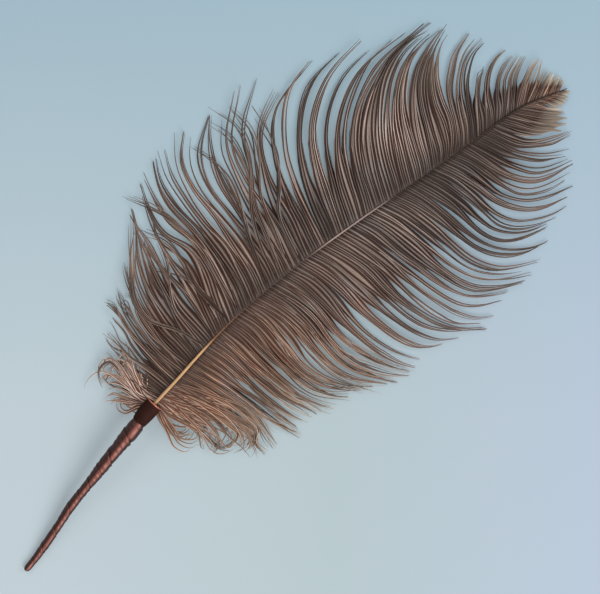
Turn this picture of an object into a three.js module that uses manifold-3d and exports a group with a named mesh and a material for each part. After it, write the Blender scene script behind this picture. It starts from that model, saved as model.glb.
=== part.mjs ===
// An ostrich feather lying on its front, with its quill wound in satin ribbon to make a grip.
// Millimetres. +X runs from the end of the grip to the tip of the feather, +Z is up, and the
// origin is on the table, in the middle of the small flat under the end of the grip.
import * as THREE from 'three';
import { mergeVertices } from 'three/addons/utils/BufferGeometryUtils.js';
import Module from 'manifold-3d';

const wasm = await Module();
wasm.setup();

// ---- Sizes -------------------------------------------------------------------------------

// Line of the whole feather, as [x, y, height], from the end of the grip to the tip.
const LINE = [
  [-11, -2.2, 1.8], [2, -0.1, 1.8], [15, 2.8, 2.9], [31, 6.5, 5.3], [46, 10.4, 7.6],
  [74, 15.2, 11.4], [101, 19.3, 14.6], [118, 22.2, 16.1], [132, 24, 16.3], [154, 26.2, 15.2],
  [174, 28.6, 14.2], [198, 30.8, 13.2], [225, 31.4, 12.2], [263, 29.7, 11], [312, 24.9, 9.6],
  [360, 19, 8], [408, 13.8, 6.4], [441, 9.9, 5], [454, 5.9, 4.2], [467, 0.9, 3.2],
  [474, -1.6, 2.4],
];
const COLLAR_X = 132; // where the shaft comes out of the collar; lock stations start here
const SHAFT_LENGTH = 345; // from the collar to the tip
const QUILL_IN_GRIP = 126; // how far the quill runs back inside the ribbon
const SHAFT_RADIUS = [ // [station, radius]
  [-QUILL_IN_GRIP, 0], [-QUILL_IN_GRIP + 3, 0.9], [-90, 1.3], [0, 1.25], [40, 1.05], [120, 0.95],
  [220, 0.75], [300, 0.5], [343, 0.35], [SHAFT_LENGTH, 0],
];
const SHAFT_SIDES = 6;
const FIT_GAP = 0.3; // clear space between pieces that touch

// Ribbon grip: [distance back from the collar's mouth, radius]. The neck is inside the collar.
const NECK = { top: -6, bottom: -16.4, radius: 3.2 };
const GRIP_RADIUS = [
  [-17, 4.3], [-24, 4.45], [-40, 4.15], [-52, 3.7], [-64, 3.25], [-80, 2.85], [-100, 2.6], [-125, 2.3],
];
const GRIP_END = -143;
const GRIP_END_RADIUS = 2.2;
const GRIP_SIDES = 12;
const GRIP_RINGS = 48;
const RIBBON_PITCH = 13; // one turn of ribbon along the grip
const RIBBON_STEP = 0.35; // how far the edge of a turn stands above the next
const REST_FLAT_LENGTH = 11;

// Collar outline as [radius, station], round the whole cut section.
const COLLAR = [
  [1.25 + FIT_GAP, -1.2], [4.9, -1.2], [5.3, 0], [5.75, -0.2], [5.7, -1.6], [5.15, -6], [5.05, -11],
  [4.8, -16], [NECK.radius + FIT_GAP, -16], [NECK.radius + FIT_GAP, NECK.top + 0.4],
  [1.25 + FIT_GAP, NECK.top + 0.4],
];
const COLLAR_SIDES = 20;

// Locks of the two vanes, as [station, length, angle at the root, half way, at the tip].
// An angle is measured from the shaft's direction, and opens toward the lock's own side.
const LEFT_LOCKS = [
  [5, 42, 80, 150, -40], [7, 46, 88, 122, 66], [10, 72, 88, 94, 245], [15, 61, 102, 80, 88],
  [21, 71, 92, 81, 70], [27, 63, 96, 76, 86], [32, 81, 87, 78, 39], [37, 95, 87, 73, 25],
  [45, 106, 87, 69, 42], [54, 104, 89, 71, 80], [60, 92, 64, 80, 54], [66, 115, 48, 90, 52],
  [74, 115, 58, 86, 69], [83, 123, 59, 88, 52], [92, 119, 62, 89, 57], [100, 128, 63, 89, 35],
  [109, 131, 67, 85, 10], [118, 120, 75, 83, 36], [127, 134, 74, 78, 22], [139, 137, 79, 74, 8],
  [147, 143, 80, 68, -4], [156, 140, 79, 58, -7], [165, 146, 79, 49, -9], [176, 150, 77, 38, -17],
  [184, 138, 77, 47, -7], [192, 147, 84, 41, -4], [203, 136, 77, 43, -12], [214, 126, 77, 44, -8],
  [224, 113, 77, 46, -3], [235, 108, 72, 49, 9], [243, 92, 70, 53, 15], [251, 87, 48, 66, 9],
  [260, 81, 58, 54, 15], [267, 78, 56, 56, -3], [274, 68, 54, 55, -3], [280, 42, 29, 71, -6],
  [288, 56, 48, 53, -4], [296, 49, 53, 50, -4], [305, 38, 46, 53, 5], [315, 30, 65, 45, 5],
  [324, 22, 60, 38, 5], [333, 14, 50, 36, -30],
];
const RIGHT_LOCKS = [
  [5, 46, 88, 106, -36], [7, 56, 80, 94, 54], [11, 58, 92, 85, 182], [15, 70, 110, 72, 226],
  [20, 76, 98, 76, 175], [27, 79, 78, 88, 122], [35, 87, 81, 86, 76], [44, 82, 79, 90, 73],
  [54, 84, 82, 90, 69], [63, 89, 80, 87, 62], [73, 98, 75, 87, 36], [82, 102, 71, 85, 31],
  [92, 107, 72, 82, 39], [101, 110, 71, 81, 43], [110, 111, 68, 81, 43], [120, 108, 66, 80, 56],
  [128, 105, 65, 79, 60], [137, 111, 58, 75, 30], [147, 113, 54, 74, 17], [158, 115, 57, 77, 29],
  [170, 116, 60, 79, 25], [181, 116, 54, 73, 13], [192, 123, 55, 68, 0], [202, 114, 54, 69, 7],
  [212, 112, 56, 68, 4], [222, 104, 55, 68, 7], [229, 98, 53, 66, -6], [238, 101, 58, 58, -7],
  [247, 93, 61, 55, -2], [257, 85, 61, 53, -11], [266, 78, 66, 51, -11], [275, 67, 61, 51, 0],
  [284, 58, 57, 52, -4], [293, 51, 56, 50, -5], [302, 38, 48, 56, 22], [312, 32, 37, 48, 21],
  [321, 23, 31, 41, 16], [331, 13, 40, 32, 12],
];
const LOCK_RINGS = 7;
const LOCK_SIDES = 4;
const ROOT_SHOULDER = 0.4; // a lock has its breadth this far from the middle of the shaft
const LOCK_THICKNESS = 1.4;
const LOCK_OVERLAP = 1.15; // width of a lock over the space it fills at its root
const TIP_HEIGHTS = [0.7, 2.6, 1.2, 3.8, 0.9, 2]; // height of the tips over the table, in turn
const DROOP = 0.65; // how late along its length a lock comes down to the table

// ---- Lines -------------------------------------------------------------------------------

const UP = new THREE.Vector3(0, 0, 1);
const line = new THREE.CatmullRomCurve3(LINE.map((p) => new THREE.Vector3(...p)));
line.arcLengthDivisions = 2000;
const lineLength = line.getLength();

// Distance along the line at which the shaft leaves the collar.
const collarDistance = (() => {
  let low = 0;
  let high = 1;
  for (let i = 0; i < 40; i += 1) {
    const middle = (low + high) / 2;
    if (line.getPointAt(middle).x < COLLAR_X) low = middle; else high = middle;
  }
  return low * lineLength;
})();

// Point and the directions along, across and up at a station of the line.
function frameAt(curve, fraction) {
  const t = THREE.MathUtils.clamp(fraction, 0, 1);
  const point = curve.getPointAt(t);
  const along = curve.getTangentAt(t).normalize();
  const across = new THREE.Vector3().crossVectors(UP, along).normalize();
  const up = new THREE.Vector3().crossVectors(along, across).normalize();
  return { point, along, across, up };
}
const stationFrame = (station) => frameAt(line, (collarDistance + station) / lineLength);

// Value between the rows of a [position, value] list.
function between(rows, position) {
  const last = rows.length - 1;
  if (position <= rows[0][0]) return rows[0][1];
  for (let i = 0; i < last; i += 1) {
    const [p0, v0] = rows[i];
    const [p1, v1] = rows[i + 1];
    if (position <= p1) return v0 + ((v1 - v0) * (position - p0)) / (p1 - p0);
  }
  return rows[last][1];
}

// ---- Solids ------------------------------------------------------------------------------

// Carries a lathe along a line: its axis takes the line's shape, x goes across and z goes up.
function alongLine(geometry, frameOf) {
  const solid = geometry.clone();
  const position = solid.getAttribute('position');
  for (let i = 0; i < position.count; i += 1) {
    const { point, across, up } = frameOf(position.getY(i));
    point.addScaledVector(across, -position.getX(i)).addScaledVector(up, position.getZ(i));
    position.setXYZ(i, point.x, point.y, point.z);
  }
  return solid;
}

function toManifold(geometry) {
  const bare = geometry.clone();
  bare.deleteAttribute('normal');
  bare.deleteAttribute('uv');
  const welded = mergeVertices(bare, 1e-5);
  return new wasm.Manifold(new wasm.Mesh({
    numProp: 3,
    vertProperties: new Float32Array(welded.getAttribute('position').array),
    triVerts: new Uint32Array(welded.getIndex().array),
  }));
}

function toGeometry(manifold) {
  const mesh = manifold.getMesh();
  const geometry = new THREE.BufferGeometry();
  geometry.setAttribute('position', new THREE.BufferAttribute(mesh.vertProperties, mesh.numProp));
  geometry.setIndex(new THREE.BufferAttribute(mesh.triVerts, 1));
  geometry.computeVertexNormals();
  return geometry;
}

// Round solid along the feather's line, from [station, radius] rows that start and end on it.
function roundAlongLine(rows, sides) {
  const profile = rows.map(([station, radius]) => new THREE.Vector2(radius, station));
  return toManifold(alongLine(new THREE.LatheGeometry(profile, sides), stationFrame));
}

function shaft(extra = 0, rows = SHAFT_RADIUS) {
  const stations = new Set(rows.map(([station]) => station));
  for (let s = -112; s < SHAFT_LENGTH - 8; s += 16) stations.add(s);
  const grown = [...stations].sort((a, b) => a - b)
    .map((s) => [s, between(rows, s) === 0 ? 0 : between(rows, s) + extra]);
  return roundAlongLine(grown, SHAFT_SIDES);
}

// Line of one lock. It turns from its root angle through its middle angle to its tip angle.
function lockLine([station, length, rootAngle, midAngle, tipAngle], side, tipHeight) {
  const steps = 24;
  const root = stationFrame(station);
  const heading = Math.atan2(root.along.y, root.along.x);
  const curve = 2 * (rootAngle + tipAngle - 2 * midAngle);
  const slope = tipAngle - rootAngle - curve;
  const points = [root.point.clone()];
  const place = root.point.clone();
  for (let i = 0; i < steps; i += 1) {
    const t = (i + 0.5) / steps;
    const angle = heading + side * THREE.MathUtils.degToRad(rootAngle + slope * t + curve * t * t);
    place.x += (Math.cos(angle) * length) / steps;
    place.y += (Math.sin(angle) * length) / steps;
    const fall = ((i + 1) / steps) ** DROOP;
    points.push(new THREE.Vector3(place.x, place.y, root.point.z + (tipHeight - root.point.z) * fall));
  }
  return new THREE.CatmullRomCurve3(points);
}

// Flat pointed blade along a lock's line. It is broad from inside the shaft on, and widest a
// third of the way out.
function lock(row, side, space, tipHeight) {
  const curve = lockLine(row, side, tipHeight);
  const lean = Math.max(0.6, Math.sin(THREE.MathUtils.degToRad(Math.min(row[2], 90))));
  const width = space * lean * LOCK_OVERLAP;
  const profile = [new THREE.Vector2(0, 0), new THREE.Vector2(0.75, ROOT_SHOULDER / row[1])];
  for (let i = 1; i < LOCK_RINGS; i += 1) {
    const t = i / LOCK_RINGS;
    profile.push(new THREE.Vector2(Math.min(1, 0.75 + t) * (1 - t ** 1.6), t));
  }
  profile.push(new THREE.Vector2(0, 1));
  const blade = new THREE.LatheGeometry(profile, LOCK_SIDES);
  blade.scale(width / 2, 1, LOCK_THICKNESS / 2);
  return toManifold(alongLine(blade, (t) => frameAt(curve, t)));
}

function vane(rows, side) {
  return rows.map((row, i) => {
    const before = rows[Math.max(i - 1, 0)][0];
    const after = rows[Math.min(i + 1, rows.length - 1)][0];
    const space = Math.max(4.5, Math.min((after - before) / 2, 10));
    const tipHeight = Math.min(TIP_HEIGHTS[i % TIP_HEIGHTS.length], stationFrame(row[0]).point.z);
    return lock(row, side, space, tipHeight);
  });
}

function featherSolid() {
  return wasm.Manifold.union([shaft(), ...vane(LEFT_LOCKS, 1), ...vane(RIGHT_LOCKS, -1)]);
}

// Grip: turns of ribbon, each with one raised edge, a rounded end and a flat to rest on.
function gripSolid() {
  const profile = [new THREE.Vector2(0, GRIP_END), new THREE.Vector2(GRIP_END_RADIUS * 0.75, GRIP_END + 0.5)];
  const start = GRIP_END + 1.6;
  const end = NECK.bottom - 0.5;
  const rows = [[GRIP_END + 1.6, GRIP_END_RADIUS], ...[...GRIP_RADIUS].reverse()];
  for (let i = 0; i <= GRIP_RINGS; i += 1) {
    const station = start + ((end - start) * i) / GRIP_RINGS;
    profile.push(new THREE.Vector2(between(rows, station), station));
  }
  profile.push(new THREE.Vector2(NECK.radius, NECK.bottom));
  profile.push(new THREE.Vector2(NECK.radius, NECK.top), new THREE.Vector2(0, NECK.top));
  const round = new THREE.LatheGeometry(profile, GRIP_SIDES);
  const position = round.getAttribute('position');
  for (let i = 0; i < position.count; i += 1) {
    const x = position.getX(i);
    const station = position.getY(i);
    const z = position.getZ(i);
    if (station > start + 1 && station < end) {
      const turn = Math.atan2(z, x) / (2 * Math.PI) + station / RIBBON_PITCH;
      const swell = 1 + (RIBBON_STEP * (turn - Math.floor(turn) - 0.5)) / Math.hypot(x, z);
      position.setX(i, x * swell);
      position.setZ(i, z * swell);
    }
  }
  const bore = shaft(FIT_GAP, [[-QUILL_IN_GRIP - 1, 0], ...SHAFT_RADIUS.slice(1, 4), [20, 1.2], [21, 0]]);
  const end0 = stationFrame(GRIP_END + 5).point;
  const table = new THREE.BoxGeometry(REST_FLAT_LENGTH * 2, 20, 4);
  table.translate(end0.x, end0.y, -2);
  return toManifold(alongLine(round, stationFrame)).subtract(bore).subtract(toManifold(table));
}

function collarSolid() {
  const profile = [...COLLAR, COLLAR[0]].reverse().map(([radius, station]) => new THREE.Vector2(radius, station));
  return toManifold(alongLine(new THREE.LatheGeometry(profile, COLLAR_SIDES), stationFrame));
}

// ---- Part --------------------------------------------------------------------------------

const part = new THREE.Group();
function addNode(name, manifold, color, roughness) {
  const material = new THREE.MeshStandardMaterial({ color, roughness, metalness: 0 });
  const mesh = new THREE.Mesh(toGeometry(manifold), material);
  mesh.name = name;
  part.add(mesh);
}
addNode('feather', featherSolid(), 0x6d605a, 0.8);
addNode('ribbon_wrap', gripSolid(), 0x4a2f2a, 0.45);
addNode('collar', collarSolid(), 0x34201c, 0.6);

export default part;
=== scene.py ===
"""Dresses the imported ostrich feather: its shaft and barbs, the ribbon-wound grip and the collar."""

import math

import bmesh
import bpy
import numpy as np
from bpy.props import FloatProperty, FloatVectorProperty, IntProperty, PointerProperty
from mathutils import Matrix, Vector


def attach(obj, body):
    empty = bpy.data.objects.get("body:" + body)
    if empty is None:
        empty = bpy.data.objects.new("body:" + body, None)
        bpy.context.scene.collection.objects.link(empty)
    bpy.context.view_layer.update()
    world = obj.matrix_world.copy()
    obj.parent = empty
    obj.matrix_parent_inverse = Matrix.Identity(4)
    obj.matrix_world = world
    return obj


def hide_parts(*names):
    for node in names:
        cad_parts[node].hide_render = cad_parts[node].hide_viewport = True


bl_info = {
    "name": "Ostrich Feather",
    "version": (1, 0, 0),
    "blender": (4, 5, 0),
    "location": "View3D > Sidebar > Feather",
    "description": "Makes the barbs, shaft, ribbon grip and collar of an ostrich feather",
    "category": "Add Mesh",
}

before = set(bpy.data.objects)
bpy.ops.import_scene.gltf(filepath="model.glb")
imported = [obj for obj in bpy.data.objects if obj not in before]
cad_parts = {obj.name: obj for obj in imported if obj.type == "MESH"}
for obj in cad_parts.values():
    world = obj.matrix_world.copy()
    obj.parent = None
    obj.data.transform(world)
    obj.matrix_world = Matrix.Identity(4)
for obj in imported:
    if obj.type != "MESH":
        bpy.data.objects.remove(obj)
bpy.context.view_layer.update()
MM = 0.001

# ---- The feather's line and locks, in millimetres ------------------------------------------

# Line of the whole feather, as (x, y, height), from the end of the grip to the tip.
LINE = (
    (-11, -2.2, 1.8), (2, -0.1, 1.8), (15, 2.8, 2.9), (31, 6.5, 5.3), (46, 10.4, 7.6),
    (74, 15.2, 11.4), (101, 19.3, 14.6), (118, 22.2, 16.1), (132, 24, 16.3), (154, 26.2, 15.2),
    (174, 28.6, 14.2), (198, 30.8, 13.2), (225, 31.4, 12.2), (263, 29.7, 11), (312, 24.9, 9.6),
    (360, 19, 8), (408, 13.8, 6.4), (441, 9.9, 5), (454, 5.9, 4.2), (467, 0.9, 3.2),
    (474, -1.6, 2.4),
)
COLLAR_X = 132  # the line's station 0: the collar's mouth
SHAFT_LENGTH = 345  # from there to the tip

# Guides of the barbs: the station of the root on the shaft, then the plan (x, y) of points along
# the barb, out to its tip.
LEFT_GUIDES = (
    (-3, 120, 27, 112.5, 30.5, 112, 37, 115, 40, 119.5, 40.5),
    (0.5, 124.5, 32, 117, 42, 107, 48),
    (3, 128, 36, 119, 48, 115.5, 57.5, 117, 63),
    (6, 132.5, 36, 128, 51.5, 126, 64.5, 117.5, 65, 113, 59, 112, 54),
    (9, 137.5, 37, 133, 49.5, 131, 61.5, 125, 66.5, 119.5, 65.5),
    (12, 141.5, 39.5, 139, 55, 138.5, 62.5, 134, 70, 134.5, 82),
    (14.5, 144.5, 39.5, 143.5, 53.5, 144.5, 64.5, 146.5, 73, 146, 86),
    (18.5, 149.5, 40.5, 148, 54, 149.5, 67, 151.5, 80.5, 150, 95.5),
    (22.5, 153.5, 40, 151.5, 54.5, 152.5, 69.5, 155, 83.5, 162.5, 97),
    (27, 159, 41, 157, 56.5, 159.5, 73.5, 164, 85.5, 160, 88.5),
    (32.5, 163.5, 42, 162, 58.5, 164, 77, 169, 92, 177.5, 104.5),
    (37.5, 169, 42.5, 167.5, 60.5, 171, 82.5, 178, 99.5, 192.5, 115),
    (42.5, 174.5, 43, 175.5, 61.5, 178, 82.5, 188, 104, 202.5, 125),
    (48.5, 180, 45, 181, 66, 185.5, 89, 195, 111.5, 206, 131.5),
    (54.5, 186.5, 46.5, 187, 68, 194, 92.5, 198, 110, 198, 122.5, 200.5, 132.5),
    (59.5, 195, 47, 200, 67, 201, 86.5, 206, 106, 212, 118),
    (64.5, 201.5, 48, 208, 66.5, 210.5, 84, 204.5, 102.5, 206.5, 116.5, 219, 140.5),
    (69, 206.5, 48, 214, 67.5, 216.5, 86, 210.5, 104.5, 212.5, 124, 218.5, 141.5),
    (74.5, 211.5, 48, 217, 67, 220.5, 86, 218.5, 106, 221, 128, 225.5, 143),
    (79.5, 217, 49, 221.5, 68, 224.5, 92, 223.5, 114, 228, 133, 238, 151),
    (85, 222.5, 48, 226.5, 67.5, 228, 92.5, 226.5, 112.5, 230, 131, 240, 148),
    (91.5, 228.5, 48, 232, 67.5, 232, 90.5, 233.5, 112, 236.5, 130.5, 244, 147),
    (97.5, 235, 49, 237.5, 68, 239, 91.5, 241.5, 114, 248, 134.5, 263, 150.5),
    (103.5, 240.5, 48.5, 243.5, 66.5, 244.5, 89.5, 245, 111, 251.5, 131.5, 265, 145.5),
    (109, 245.5, 47, 248, 64, 249, 85, 250.5, 106, 260.5, 128, 285.5, 145),
    (115, 251, 45.5, 252.5, 60, 254, 80.5, 257.5, 104.5, 270, 128.5, 285, 144.5),
    (121.5, 256.5, 44.5, 258.5, 58, 262, 78, 268, 99.5, 274.5, 120, 290.5, 136.5),
    (127, 262, 43, 265, 56, 268.5, 75, 273, 97, 283, 121.5, 312.5, 146.5),
    (134, 268.5, 42.5, 272, 55, 274.5, 71.5, 279.5, 89, 295.5, 119, 327.5, 139.5),
    (139.5, 274.5, 41, 278, 53, 282, 69.5, 289, 89.5, 304, 111.5, 333.5, 125),
    (146, 280.5, 39.5, 284.5, 51, 288.5, 68, 298, 90.5, 318.5, 116.5, 362.5, 125.5),
    (151.5, 286, 39, 289.5, 51, 296, 70, 306, 92, 331.5, 118, 357, 125),
    (156.5, 291.5, 38, 295, 50.5, 302, 69, 318.5, 94.5, 344.5, 115, 375.5, 118),
    (162.5, 298, 37.5, 302.5, 51, 310.5, 70.5, 328.5, 94, 358.5, 111.5, 393.5, 115),
    (168.5, 304, 36.5, 309.5, 49.5, 320.5, 70, 341, 92, 366, 105, 390, 106.5),
    (176, 311.5, 36, 318, 50.5, 328.5, 68, 347.5, 86.5, 377, 99.5, 420, 98.5),
    (183, 320, 35.5, 327, 51.5, 337.5, 68.5, 357.5, 86, 387, 99.5, 416.5, 99),
    (191.5, 327, 33.5, 334, 49.5, 345, 66, 365.5, 83, 394.5, 93, 435, 94),
    (199.5, 335, 32.5, 342, 46.5, 355.5, 65.5, 377, 82, 405.5, 92, 435.5, 92),
    (208, 344, 32, 350, 44.5, 358.5, 59, 370, 72, 385, 84, 402, 90.5, 419.5, 91, 433, 87.5),
    (213, 348.5, 30, 354.5, 42, 363, 54.5, 375, 68, 389, 80.5, 405, 88, 422, 89),
    (218, 352.5, 28.5, 359, 40.5, 368, 55, 379, 67, 391, 76.5, 405, 83.5, 420, 87, 434, 86),
    (226, 361.5, 27, 367, 38, 375, 53, 384.5, 66.5, 396.5, 77, 409, 83.5, 422, 85, 436, 84.5),
    (231, 366.5, 26.5, 372, 37.5, 380, 52.5, 390, 66, 401, 76.5, 413.5, 83, 426, 86),
    (235, 371, 25.5, 376.5, 36.5, 386, 52, 397.5, 65.5, 409.5, 74, 423, 80, 439, 82.5),
    (240.5, 376.5, 26, 384, 39, 391.5, 53.5, 400.5, 65.5, 412, 73.5, 425.5, 79.5, 443.5, 84.5),
    (245, 381.5, 25, 387, 37.5, 394, 51, 402, 61.5, 412, 70.5, 422.5, 76.5, 439, 82.5),
    (248, 386, 22.5, 392, 33.5, 397.5, 47.5, 405, 59, 415, 69.5, 425.5, 77, 433, 79.5),
    (251.5, 390.5, 24, 397.5, 35.5, 402.5, 50, 410, 61.5, 419.5, 70.5, 430, 77, 436.5, 79.5),
    (254.5, 394, 24.5, 401.5, 35.5, 406, 48, 412.5, 61, 421.5, 70.5, 431, 76.5, 439.5, 78.5),
    (259, 396.5, 22.5, 403, 32.5, 408.5, 42.5, 414.5, 50.5, 424, 58, 434, 65, 449, 69.5),
    (266, 403.5, 23, 411, 36, 418.5, 47, 428.5, 56, 438, 61.5, 453.5, 63.5),
    (269, 407.5, 24, 414.5, 35.5, 422, 46.5, 431, 54.5, 440, 58.5, 453, 60.5),
    (273, 410, 22.5, 417.5, 34.5, 426, 45.5, 435, 52.5, 442.5, 56.5, 454, 57.5),
    (276, 413.5, 22.5, 420, 33, 427, 42, 434.5, 48.5, 442.5, 53.5, 454, 56),
    (279.5, 417, 21.5, 424.5, 33, 431.5, 40, 437, 43.5),
    (284, 422, 21.5, 428.5, 31.5, 435.5, 38.5, 443.5, 43.5, 451, 46, 458, 46),
    (289.5, 427.5, 21.5, 434, 31.5, 442, 38.5, 451.5, 42.5, 462.5, 43),
    (295, 432.5, 17.5, 438.5, 25, 444.5, 31, 453.5, 35, 464, 38),
    (301, 438.5, 18.5, 444.5, 24, 449.5, 28.5, 455.5, 31.5, 464, 34.5),
    (304.5, 440.5, 16.5, 445.5, 21, 451, 26, 458, 30, 467.5, 33.5),
    (310, 447.5, 15, 452.5, 18.5, 458.5, 22, 465, 24.5, 472.5, 25.5),
    (313, 450.5, 14, 456, 17, 462, 20.5, 467.5, 23, 472.5, 25),
    (316, 454, 12, 459.5, 15, 464.5, 18, 469, 21.5, 472.5, 24.5),
    (319.5, 457, 11, 462.5, 13.5, 467.5, 15, 471.5, 16),
    (324, 460.5, 9, 466, 11.5, 472, 14),
    (328, 464, 7.5, 469, 10, 474, 11.5),
    (332, 466, 6, 470.5, 7.5, 475, 8.5),
    (335.5, 468.5, 4, 472, 5.5, 475, 6),
    (338.5, 471, 2.5, 475, 3.5),
)
RIGHT_GUIDES = (
    (-2.5, 127.5, 14, 127.5, 3.5, 129.5, -6, 135, -9.5, 140, -8),
    (0.5, 133.5, 12.5, 134.5, -1, 137.5, -12.5, 142, -20, 144, -25.5),
    (5, 139, 11, 141, -4, 141.5, -18, 143.5, -27.5, 148.5, -32),
    (9.5, 145, 10.5, 148, -4, 148.5, -15.5, 145, -22.5, 137, -25.5),
    (14.5, 150.5, 12, 154.5, -3.5, 157.5, -18, 158, -27.5, 149.5, -29.5, 144, -27),
    (19, 155.5, 12, 159.5, -3, 163.5, -18, 165, -31.5, 159.5, -38, 152.5, -39),
    (24.5, 160.5, 13, 165, -3.5, 169.5, -19.5, 169, -33.5, 162, -39, 162.5, -49.5),
    (29, 165.5, 13, 170.5, -3, 174.5, -19, 173.5, -30, 170, -51),
    (35, 170.5, 12.5, 174.5, -4, 178.5, -19.5, 181, -35.5, 188.5, -57),
    (41.5, 177, 14, 180, -4.5, 183.5, -20.5, 186.5, -35, 190, -49.5),
    (47.5, 183, 14.5, 185, -3.5, 187, -19.5, 191.5, -36.5, 197, -53),
    (53, 188.5, 14.5, 190, -3.5, 193, -20, 197, -37, 201.5, -52),
    (60.5, 194, 15, 195, 0, 197, -15, 201.5, -32.5, 206.5, -44.5, 209, -54),
    (66.5, 200.5, 15.5, 201, -3, 202.5, -19, 205, -33.5, 209.5, -45, 217, -57.5),
    (73, 207.5, 18, 208, 2.5, 209, -12.5, 211.5, -27, 215.5, -40.5, 221, -50.5, 229.5, -60),
    (79, 214, 17.5, 214, 0.5, 214.5, -15.5, 216, -29.5, 220, -41.5, 227.5, -51, 238.5, -60),
    (85.5, 220.5, 17, 219.5, -2, 219, -19.5, 222.5, -32.5, 227.5, -43, 233.5, -52, 245.5, -64),
    (92.5, 229.5, 17, 232, -1, 232, -20.5, 233.5, -37, 238.5, -50, 253.5, -69),
    (99.5, 236, 16.5, 239, 0, 239, -19.5, 240.5, -37, 246, -51.5, 258.5, -72.5),
    (106, 242.5, 16, 245, -2, 244.5, -21.5, 246, -37.5, 251, -51.5, 259, -65, 268.5, -75),
    (113.5, 249.5, 17, 252, 0.5, 251.5, -17.5, 252.5, -31.5, 256.5, -46, 263, -60.5, 272, -74),
    (120, 256, 17.5, 258, 0.5, 258, -17, 259.5, -32.5, 262.5, -48.5, 269, -64, 276, -73.5),
    (125.5, 262, 16, 264, -0.5, 263.5, -18, 264.5, -32.5, 268, -49, 273, -61, 278, -70.5),
    (133, 268.5, 15.5, 271, -1.5, 272, -18, 274, -36, 278, -51.5, 283.5, -63, 292.5, -71,
     300.5, -74.5),
    (138.5, 275.5, 15, 278, -2.5, 280.5, -20.5, 284, -38.5, 288, -54, 295.5, -67.5, 309, -76.5),
    (146, 282, 14.5, 285.5, -3, 288, -22.5, 291, -41, 296.5, -56.5, 306, -69.5, 317.5, -78.5),
    (151.5, 288, 13.5, 292.5, -3.5, 294, -23.5, 296.5, -40.5, 301.5, -56.5, 311.5, -71,
     331.5, -88.5),
    (158.5, 294.5, 13, 298.5, -4.5, 300.5, -24, 303, -41, 306, -55.5, 311.5, -67.5, 324, -79),
    (166, 302, 12.5, 306, -5, 308.5, -23, 311.5, -39.5, 315, -51.5, 319, -63, 326.5, -74.5,
     338.5, -82.5),
    (172.5, 308.5, 12, 312.5, -5.5, 315.5, -23, 318.5, -39.5, 322.5, -51.5, 327.5, -61, 336,
     -69.5, 350, -77.5),
    (179, 315.5, 11.5, 319, -7, 322.5, -23, 326, -39.5, 329.5, -51.5, 335, -61, 345.5, -69,
     357.5, -75.5),
    (185.5, 322, 10, 325.5, -7.5, 328.5, -26, 331.5, -41, 334.5, -51.5, 340, -61, 351.5, -70,
     367.5, -78),
    (192, 329, 9, 332.5, -8, 335, -25.5, 338.5, -41, 343.5, -51.5, 350, -60, 361, -69, 376, -77),
    (199.5, 336, 8, 339.5, -9, 342, -27, 344, -40.5, 348.5, -51.5, 357, -62, 368.5, -70.5),
    (204, 341, 7.5, 345, -9.5, 347.5, -27, 350, -41.5, 354.5, -52.5, 361.5, -62.5, 374,
     -70.5, 386.5, -76.5),
    (210.5, 347.5, 7, 351, -9, 353, -24.5, 356.5, -38.5, 362.5, -50, 370.5, -58.5, 382,
     -65.5, 397.5, -69.5),
    (218, 354, 6, 357.5, -9.5, 359.5, -25, 362, -38, 367, -48.5, 375, -57.5, 386, -65, 398, -69),
    (223.5, 359.5, 5.5, 363.5, -10, 364, -24, 366, -36, 371, -46, 380.5, -53.5, 393, -59, 403, -62),
    (229, 365, 5, 369, -10.5, 371, -26, 373.5, -37.5, 379.5, -46.5, 390, -54.5, 403.5, -59),
    (234, 370.5, 5, 374, -11, 375.5, -25, 377.5, -38.5, 384.5, -48.5, 395, -55, 409.5, -60.5),
    (239, 375.5, 4.5, 379, -11.5, 380.5, -25.5, 383.5, -36, 389.5, -45, 400.5, -52.5, 413.5,
     -58, 423.5, -59.5),
    (245.5, 382, 4, 386, -11.5, 388.5, -24.5, 393.5, -34.5, 401.5, -44, 411, -50.5, 426.5, -55.5),
    (251.5, 387.5, 4.5, 391, -10, 393.5, -22.5, 399, -32.5, 406, -40, 417, -46, 435, -51.5),
    (254.5, 391.5, 4.5, 394.5, -8.5, 397.5, -21, 401.5, -31.5, 409.5, -38.5, 419.5, -43,
     430.5, -45),
    (260.5, 395.5, 3.5, 398.5, -9.5, 401.5, -20, 406, -28.5, 413, -35.5, 422, -40, 440.5, -44.5),
    (266, 400.5, 4, 404, -7, 407, -15.5, 412, -24, 418, -31, 427, -35.5, 443.5, -40),
    (271.5, 406.5, 3.5, 410, -6.5, 414.5, -15, 419.5, -23, 426, -29, 434, -33, 445, -37.5),
    (276.5, 411.5, 3.5, 416.5, -7, 422.5, -16, 429.5, -24, 437, -29.5, 444, -34),
    (281, 416.5, 3.5, 420.5, -8, 428, -17.5, 437, -25.5, 449, -32.5),
    (286, 419, 6, 424, -2.5, 430, -10.5, 439.5, -16.5, 448.5, -20, 458, -23),
    (290, 425, 5, 430, -3.5, 435.5, -9.5, 439.5, -12.5),
    (294.5, 429.5, 4.5, 434.5, -3.5, 440.5, -10.5, 446.5, -15.5, 451, -20.5),
    (299.5, 434.5, 4, 440, -4.5, 446, -11.5, 456, -19.5),
    (303.5, 440, 3.5, 445.5, -4, 451.5, -10, 459.5, -17),
    (309, 445, 3, 451, -4, 456, -9, 461, -13),
    (314.5, 449.5, 3, 455, -3.5, 459, -7.5, 462.5, -10.5),
    (319.5, 453, 2.5, 456, -4, 459.5, -8),
    (323.5, 456.5, 1.5, 459, -3.5, 461.5, -7.5),
    (327, 459.5, 1, 462, -4, 464.5, -9),
    (330.5, 463, -0.5, 465, -4, 467.5, -8),
    (333.5, 466, -0.5, 470.5, -5.5),
    (336.5, 468.5, -0.5, 473, -4),
    (340.5, 471.5, -1, 474, -3),
)
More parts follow.
